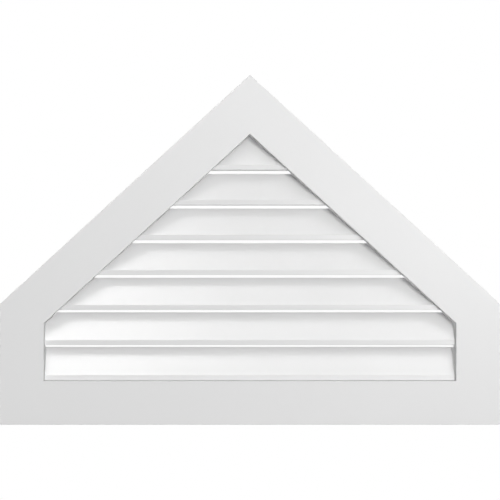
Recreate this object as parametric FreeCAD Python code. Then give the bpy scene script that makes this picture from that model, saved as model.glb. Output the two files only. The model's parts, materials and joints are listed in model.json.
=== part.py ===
import FreeCAD, Part
import os

# Peaked, surface-mounted louvred gable vent built up from white cellular PVC boards.
# X runs to the right as seen from outside, Y into the wall and Z up, in millimetres.
# The origin is the middle of the bottom edge, on the plane where the trim meets the wall.

# Trim frame
overall_width = 1016.0
overall_height = 711.2
roof_pitch = 11.0 / 12.0  # rise over run of both rakes
trim_width = 88.9
trim_thickness = 25.4
trim_edge_radius = 1.0  # eased front edges of the boards

# Back box that stands in the hole in the wall
bearing_width = 12.7  # strip of the trim's back between the opening and the box
box_thickness = 12.7
box_lip = 3.175  # how far the box runs on behind the louvres
groove_depth = 6.35  # how deep the box is let into the trim's back

# Louvres
louvre_count = 7
slot_height = 6.35  # air gap between two louvres
nose_height = 10.0
nose_setback = 15.875  # nose behind the trim's front face
louvre_depth = 31.75  # nose to back
crest_width = 3.175  # level top between the sloped face and the back
nose_edge_radius = 0.8

# Planes across the depth
front_face = -trim_thickness
wall_face = 0.0
nose_face = front_face + nose_setback
louvre_back = nose_face + louvre_depth
crest_line = louvre_back - crest_width
box_back = louvre_back + box_lip

# Insets of the four parallel outlines from the outer edge
opening_inset = trim_width
box_inner_inset = opening_inset - bearing_width
box_outer_inset = box_inner_inset - box_thickness

board_names = ("bottom", "right", "right_rake", "left_rake", "left")


def house_outline(inset):
    """Corners of the peaked outline, from the bottom left corner anticlockwise."""
    rake_length_per_run = (1.0 + roof_pitch ** 2) ** 0.5
    half_width = overall_width / 2.0 - inset
    peak = overall_height - inset * rake_length_per_run
    eave = peak - half_width * roof_pitch
    return [
        (-half_width, inset),
        (half_width, inset),
        (half_width, eave),
        (0.0, peak),
        (-half_width, eave),
    ]


def peak_height(inset):
    return max(z for x, z in house_outline(inset))


def prism(corners, near, far):
    """Solid between two depths, from its corners in the front view."""
    points = [FreeCAD.Vector(x, near, z) for x, z in corners]
    face = Part.Face(Part.makePolygon(points + points[:1]))
    return face.extrude(FreeCAD.Vector(0, far - near, 0))


def band(low, high, near, far):
    """Full-width slab between two heights and two depths."""
    half = overall_width / 2.0
    return prism([(-half, low), (half, low), (half, high), (-half, high)], near, far)


def mitred_boards(outer_inset, inner_inset, near, far):
    """The five boards between two outlines, mitred where they meet."""
    outer = house_outline(outer_inset)
    inner = house_outline(inner_inset)
    boards = {}
    for index, name in enumerate(board_names):
        following = (index + 1) % len(board_names)
        corners = [outer[index], outer[following], inner[following], inner[index]]
        boards[name] = prism(corners, near, far)
    return boards


def is_on_outline(edge, inset):
    """Whether both ends of an edge are corners of one of the outlines."""
    corners = house_outline(inset)
    ends = [vertex.Point for vertex in edge.Vertexes]
    return all(
        any(abs(end.x - x) < 0.01 and abs(end.z - z) < 0.01 for x, z in corners) for end in ends
    )


def ease_front_edges(board):
    """Round the two long front edges of a trim board."""
    front_edges = [
        edge
        for edge in board.Edges
        if abs(edge.CenterOfMass.y - front_face) < 0.01
        and (is_on_outline(edge, 0.0) or is_on_outline(edge, opening_inset))
    ]
    return board.makeFillet(trim_edge_radius, front_edges)


def make_box():
    return mitred_boards(box_outer_inset, box_inner_inset, wall_face - groove_depth, box_back)


def make_trim(box):
    """Trim boards with eased edges and the groove that takes the box."""
    trim = mitred_boards(0.0, opening_inset, front_face, wall_face)
    return {name: ease_front_edges(board).cut(box[name]) for name, board in trim.items()}


def louvre_blade(low, high):
    """Bevelled bar: upright nose, sloped face, level top and underside, upright back."""
    section = [
        (nose_face, low),
        (louvre_back, low),
        (louvre_back, high),
        (crest_line, high),
        (nose_face, low + nose_height),
    ]
    start = -overall_width / 2.0
    points = [FreeCAD.Vector(start, y, z) for y, z in section]
    face = Part.Face(Part.makePolygon(points + points[:1]))
    bar = face.extrude(FreeCAD.Vector(overall_width, 0, 0))
    nose_edges = [
        edge
        for edge in bar.Edges
        if abs(edge.CenterOfMass.y - nose_face) < 0.01 and abs(edge.CenterOfMass.x) < 0.01
        and edge.Length > overall_width / 2.0
    ]
    return bar.makeFillet(nose_edge_radius, nose_edges)


def make_louvre(index):
    """Blade cut to the opening, with square shoulders that bear on the trim's back."""
    is_lowest = index == 0
    is_highest = index == louvre_count - 1
    low = opening_inset + index * louvre_pitch
    high = peak_height(opening_inset) if is_highest else low + louvre_pitch - slot_height
    opening = prism(house_outline(opening_inset), front_face, louvre_back)
    blade = louvre_blade(low, high).common(opening)
    shoulder_low = box_inner_inset if is_lowest else low
    shoulder_high = peak_height(box_inner_inset) if is_highest else high
    behind_trim = prism(house_outline(box_inner_inset), wall_face, louvre_back).cut(opening)
    shoulders = behind_trim.common(band(shoulder_low, shoulder_high, wall_face, louvre_back))
    return blade.fuse(shoulders).removeSplitter()


def single_solid(shape):
    """The one solid in a shape, out of any compound round it."""
    return shape.Solids[0]


louvre_pitch = (peak_height(opening_inset) - opening_inset) / louvre_count

trim_nodes = {
    "bottom": "bottom_rail",
    "right": "right_stile",
    "right_rake": "right_rake",
    "left_rake": "left_rake",
    "left": "left_stile",
}
box_nodes = {
    "bottom": "box_sill",
    "right": "box_right_side",
    "right_rake": "box_right_rake",
    "left_rake": "box_left_rake",
    "left": "box_left_side",
}

box = make_box()
trim = make_trim(box)
pieces = {trim_nodes[name]: board for name, board in trim.items()}
pieces.update({box_nodes[name]: board for name, board in box.items()})
for index in range(louvre_count):
    pieces["louvre_%d" % (index + 1)] = make_louvre(index)

os.makedirs("parts", exist_ok=True)
for node, shape in pieces.items():
    single_solid(shape).exportStep("parts/%s.step" % node)
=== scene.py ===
# Peaked gable vent in white cellular PVC, hung in a plain white studio
import bpy
import json
from math import cos, pi, radians, sin
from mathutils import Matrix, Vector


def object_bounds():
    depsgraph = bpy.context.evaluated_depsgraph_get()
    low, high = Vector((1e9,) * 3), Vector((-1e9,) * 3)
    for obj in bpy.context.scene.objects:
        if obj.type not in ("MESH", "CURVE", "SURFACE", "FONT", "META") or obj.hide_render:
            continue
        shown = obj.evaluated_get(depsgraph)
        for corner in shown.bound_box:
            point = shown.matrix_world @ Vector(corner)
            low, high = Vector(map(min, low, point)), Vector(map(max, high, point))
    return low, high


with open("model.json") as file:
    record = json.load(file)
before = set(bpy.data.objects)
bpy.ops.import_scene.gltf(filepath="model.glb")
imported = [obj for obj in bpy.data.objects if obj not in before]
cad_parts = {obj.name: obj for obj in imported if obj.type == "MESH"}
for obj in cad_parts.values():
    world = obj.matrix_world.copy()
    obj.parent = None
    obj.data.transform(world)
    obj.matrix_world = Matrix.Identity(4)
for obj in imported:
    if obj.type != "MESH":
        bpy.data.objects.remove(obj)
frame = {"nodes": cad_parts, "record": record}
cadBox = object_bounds()
print("frame loaded:", len(frame["nodes"]), "nodes")


class Wire:
    # a socket in a node tree that can be used in sums
    def __init__(self, tree, socket=None):
        self.tree = tree
        self.socket = socket

    def node(self, kind, settings=None, inputs=None, output=0):
        made = self.tree.nodes.new(kind)
        for key, value in (settings or {}).items():
            setattr(made, key, value)
        for key, value in (inputs or {}).items():
            if isinstance(value, Wire):
                self.tree.links.new(value.socket, made.inputs[key])
            else:
                made.inputs[key].default_value = value
        return Wire(self.tree, made.outputs[output] if len(made.outputs) else None)

    def sum(self, operation, left, right):
        return self.node("ShaderNodeMath", {"operation": operation}, {0: left, 1: right})

    def __add__(self, other):
        return self.sum("ADD", self, other)

    def __radd__(self, other):
        return self.sum("ADD", other, self)

    def __sub__(self, other):
        return self.sum("SUBTRACT", self, other)

    def __rsub__(self, other):
        return self.sum("SUBTRACT", other, self)

    def __mul__(self, other):
        return self.sum("MULTIPLY", self, other)

    def __rmul__(self, other):
        return self.sum("MULTIPLY", other, self)


def emptyTree(owner):
    owner.use_nodes = True
    owner.node_tree.nodes.clear()
    return Wire(owner.node_tree)


camera = {
    "distance": 2.34,  # metres in front of the trim
    "left": 0.1016,  # of the vent's middle, in metres
    "height": 0.3551,  # over the vent's bottom edge, in metres
    "pixelsPerMetre": 492.1,  # on the trim's front face
    "pictureWidth": 500.0,  # pixels
    "shift": 0.10,  # brings the vent to the middle of the picture
    "sensor": 36.0,  # millimetres
}


def addCamera(spec):
    frontFace = cadBox[0][1]
    bpy.ops.object.camera_add(location=(-spec["left"], frontFace - spec["distance"], spec["height"]),
                              rotation=(pi / 2, 0, 0))
    made = bpy.context.object
    made.name = "camera"
    lens = made.data
    lens.sensor_width = spec["sensor"]
    lens.lens = spec["sensor"] * spec["distance"] * spec["pixelsPerMetre"] / spec["pictureWidth"]
    lens.shift_x = spec["shift"]
    lens.dof.use_dof = False
    bpy.context.scene.camera = made
    print("camera: lens %.1f mm" % lens.lens)


addCamera(camera)

world = {
    "ambient": 0.14,  # soft light from all round
    "background": 1.0,  # what the camera and reflections see
}


def backgroundRays(tree):
    # 1 where the camera, a reflection or a see-through surface looks at the studio, otherwise 0
    kinds = ("Is Camera Ray", "Is Glossy Ray", "Is Transmission Ray")
    seen, mirrored, through = (tree.node("ShaderNodeLightPath", output=kind) for kind in kinds)
    return tree.sum("MINIMUM", seen + mirrored + through, 1.0)


def makeWorld(spec):
    made = bpy.data.worlds.new("studio")
    bpy.context.scene.world = made
    tree = emptyTree(made)
    strength = spec["ambient"] + backgroundRays(tree) * (spec["background"] - spec["ambient"])
    sky = tree.node("ShaderNodeBackground", inputs={"Color": (1, 1, 1, 1), "Strength": strength})
    tree.node("ShaderNodeOutputWorld", inputs={"Surface": sky})


makeWorld(world)

# azimuth 0 is in front of the vent and 90 to its right, in degrees; distances and sizes are in metres
# a fill lights the surface without a highlight, a sheen adds only the highlight, and the rest do both
lamps = {
    "frontFill": {"kind": "fill", "azimuth": 5, "elevation": 6, "distance": 6.0,
                  "size": (1.2, 2.4), "power": 217.0},
    "highFill": {"kind": "fill", "azimuth": 0, "elevation": 25, "distance": 6.0,
                 "size": (1.0, 2.0), "power": 38.0},
    "topFill": {"kind": "fill", "azimuth": 0, "elevation": 62, "distance": 5.0,
                "size": (3.0, 1.5), "power": 19.0},
    "rightSheen": {"kind": "sheen", "azimuth": 37.6, "elevation": 12, "distance": 3.3,
                   "size": (2.0, 2.0), "power": 86.0},
    "lowSheen": {"kind": "sheen", "azimuth": 20, "elevation": 6, "distance": 3.2,
                 "size": (0.8, 0.8), "power": 18.0},
    "leftSheen": {"kind": "sheen", "azimuth": -19.3, "elevation": 44, "distance": 2.94,
                  "size": (1.0, 1.0), "power": 46.0},
    "highSheen": {"kind": "sheen", "azimuth": 24.2, "elevation": 41.6, "distance": 2.93,
                  "size": (1.0, 1.0), "power": 27.0},
    "backLeft": {"kind": "both", "azimuth": -135, "elevation": 20, "distance": 4.0,
                 "size": (2.0, 2.0), "power": 120.0},
    "backRight": {"kind": "both", "azimuth": 110, "elevation": 25, "distance": 4.0,
                  "size": (1.5, 1.5), "power": 75.0},
}


def addLamps(specs):
    middle = (cadBox[0][2] + cadBox[1][2]) / 2
    for name, spec in specs.items():
        azimuth, elevation = radians(spec["azimuth"]), radians(spec["elevation"])
        reach = spec["distance"] * cos(elevation)
        place = (reach * sin(azimuth), -reach * cos(azimuth), middle + spec["distance"] * sin(elevation))
        bpy.ops.object.light_add(type="AREA", location=place, rotation=(pi / 2 - elevation, 0, azimuth))
        lamp = bpy.context.object
        lamp.name = name
        lamp.data.shape = "RECTANGLE"
        lamp.data.size, lamp.data.size_y = spec["size"]
        lamp.data.energy = spec["power"]
        lamp.visible_camera = False
        lamp.visible_glossy = spec["kind"] != "fill"
        lamp.visible_diffuse = spec["kind"] != "sheen"
    print("lamps:", ", ".join(specs))


addLamps(lamps)

floor = {
    "below": 2.8,  # under the bottom edge of the vent, which hangs high
    "size": 12.0,  # metres along each side
    "colour": 0.45,
    "lift": 0.78,  # brings the lit floor up to the white background
    "fade": (1.6, 3.0),  # metres from the spot under the vent between which it turns plain white
}


def addFloor(spec):
    bpy.ops.mesh.primitive_plane_add(size=spec["size"], location=(0, 0, cadBox[0][2] - spec["below"]))
    made = bpy.context.object
    made.name = "floor"
    material = bpy.data.materials.new("floorPaint")
    tree = emptyTree(material)
    place = tree.node("ShaderNodeTexCoord", output="Object")
    reach = tree.node("ShaderNodeVectorMath", {"operation": "LENGTH"}, {0: place}, output="Value")
    near, far = spec["fade"]
    rim = tree.node("ShaderNodeMapRange", {"interpolation_type": "SMOOTHSTEP", "clamp": True},
                    {"Value": reach, "From Min": near, "From Max": far})
    direct = backgroundRays(tree)
    grey = spec["colour"]
    paint = tree.node("ShaderNodeBsdfDiffuse", inputs={"Color": (grey, grey, grey, 1)})
    glow = tree.node("ShaderNodeEmission", inputs={"Strength": direct * spec["lift"]})
    lit = tree.node("ShaderNodeAddShader", inputs={0: paint, 1: glow})
    white = tree.node("ShaderNodeEmission", inputs={"Strength": direct + (1 - direct) * world["ambient"]})
    whole = tree.node("ShaderNodeMixShader", inputs={0: rim, 1: lit, 2: white})
    tree.node("ShaderNodeOutputMaterial", inputs={"Surface": whole})
    made.data.materials.append(material)


addFloor(floor)

trimPvc = {
    "colour": 0.80,
    "paintedEdgeShade": 0.07,  # painted shade: how much darker the faces turned from the front are painted, standing in for the shade on the inner edges
    "sawnFocus": 8,  # how squarely a face must stand to the front to count as the sheet's skin
    "clouds": (6.0, 3.0),  # scale and detail of the lighter and darker clouds in the sheet
    "wave": (90.0, 4.0),  # scale and detail of the extruded skin's faint waviness
    "cells": (900.0, 2.0),  # scale and detail of the open cells on a cut edge
    "mottle": 0.012,  # how much lighter or darker the clouds are
    "cellSpeck": 0.02,  # how much the cells change the shade of a cut edge
    "roughness": 0.45,
    "roughnessSwing": 0.06,  # how much smoother or rougher the waviness makes the skin
    "sawnRoughness": 0.45,  # how much rougher a cut edge is
    "ior": 1.5,
    "specular": 0.5,
    "skinDepth": 0.00004,  # height of the waviness, in metres
    "sawnDepth": 0.00012,  # depth of the open cells, in metres
}
louvrePvc = dict(trimPvc, roughness=0.30, roughnessSwing=0.04, sawnRoughness=0.08)
boxPvc = dict(trimPvc, colour=0.78, roughness=0.5)


def noise(tree, place, grain):
    scale, detail = grain
    return tree.node("ShaderNodeTexNoise", inputs={"Vector": place, "Scale": scale, "Detail": detail})


def pvcMaterial(name, look):
    material = bpy.data.materials.new(name)
    tree = emptyTree(material)
    place = tree.node("ShaderNodeTexCoord", output="Object")
    normal = tree.node("ShaderNodeTexCoord", output="Normal")
    facing = tree.node("ShaderNodeSeparateXYZ", inputs={"Vector": normal}, output="Y")
    squareness = tree.node("ShaderNodeMath", {"operation": "ABSOLUTE"}, {0: facing})
    sideFacing = 1 - tree.sum("POWER", squareness, look["sawnFocus"])  # 1 on faces turned from the front, such as cut edges and louvre slopes, 0 on the sheet's skin
    clouds, wave, cells = (noise(tree, place, look[grain]) for grain in ("clouds", "wave", "cells"))
    # painted shade: faces turned from the front are painted darker, with a faint random speck from the
    # open cells
    paintedEdgeShade = (cells - 0.5) * look["cellSpeck"] + look["paintedEdgeShade"]
    tint = look["colour"] + (clouds - 0.5) * (2 * look["mottle"]) - sideFacing * paintedEdgeShade
    colour = tree.node("ShaderNodeCombineColor", inputs={0: tint, 1: tint, 2: tint})
    swing = (wave - 0.5) * (2 * look["roughnessSwing"])
    roughness = look["roughness"] + swing + sideFacing * look["sawnRoughness"]
    height = wave * look["skinDepth"] + sideFacing * cells * look["sawnDepth"]
    bump = tree.node("ShaderNodeBump", inputs={"Strength": 1.0, "Distance": 1.0, "Height": height})
    skin = tree.node("ShaderNodeBsdfPrincipled",
                     inputs={"Base Color": colour, "Roughness": roughness, "Normal": bump,
                             "IOR": look["ior"], "Specular IOR Level": look["specular"]})
    tree.node("ShaderNodeOutputMaterial", inputs={"Surface": skin})
    return material


def paintNodes(slotLooks):
    materials = {slot: pvcMaterial(slot, look) for slot, look in slotLooks.items()}
    for part in frame["record"]["subparts"]:
        for slot in frame["nodes"][part["node"]].material_slots:
            slot.material = materials[part["material_slot"]]
    print("materials:", ", ".join(materials))


paintNodes({"trim_pvc": trimPvc, "louvre_pvc": louvrePvc, "box_pvc": boxPvc})

bpy.context.scene.view_settings.view_transform = "Standard"
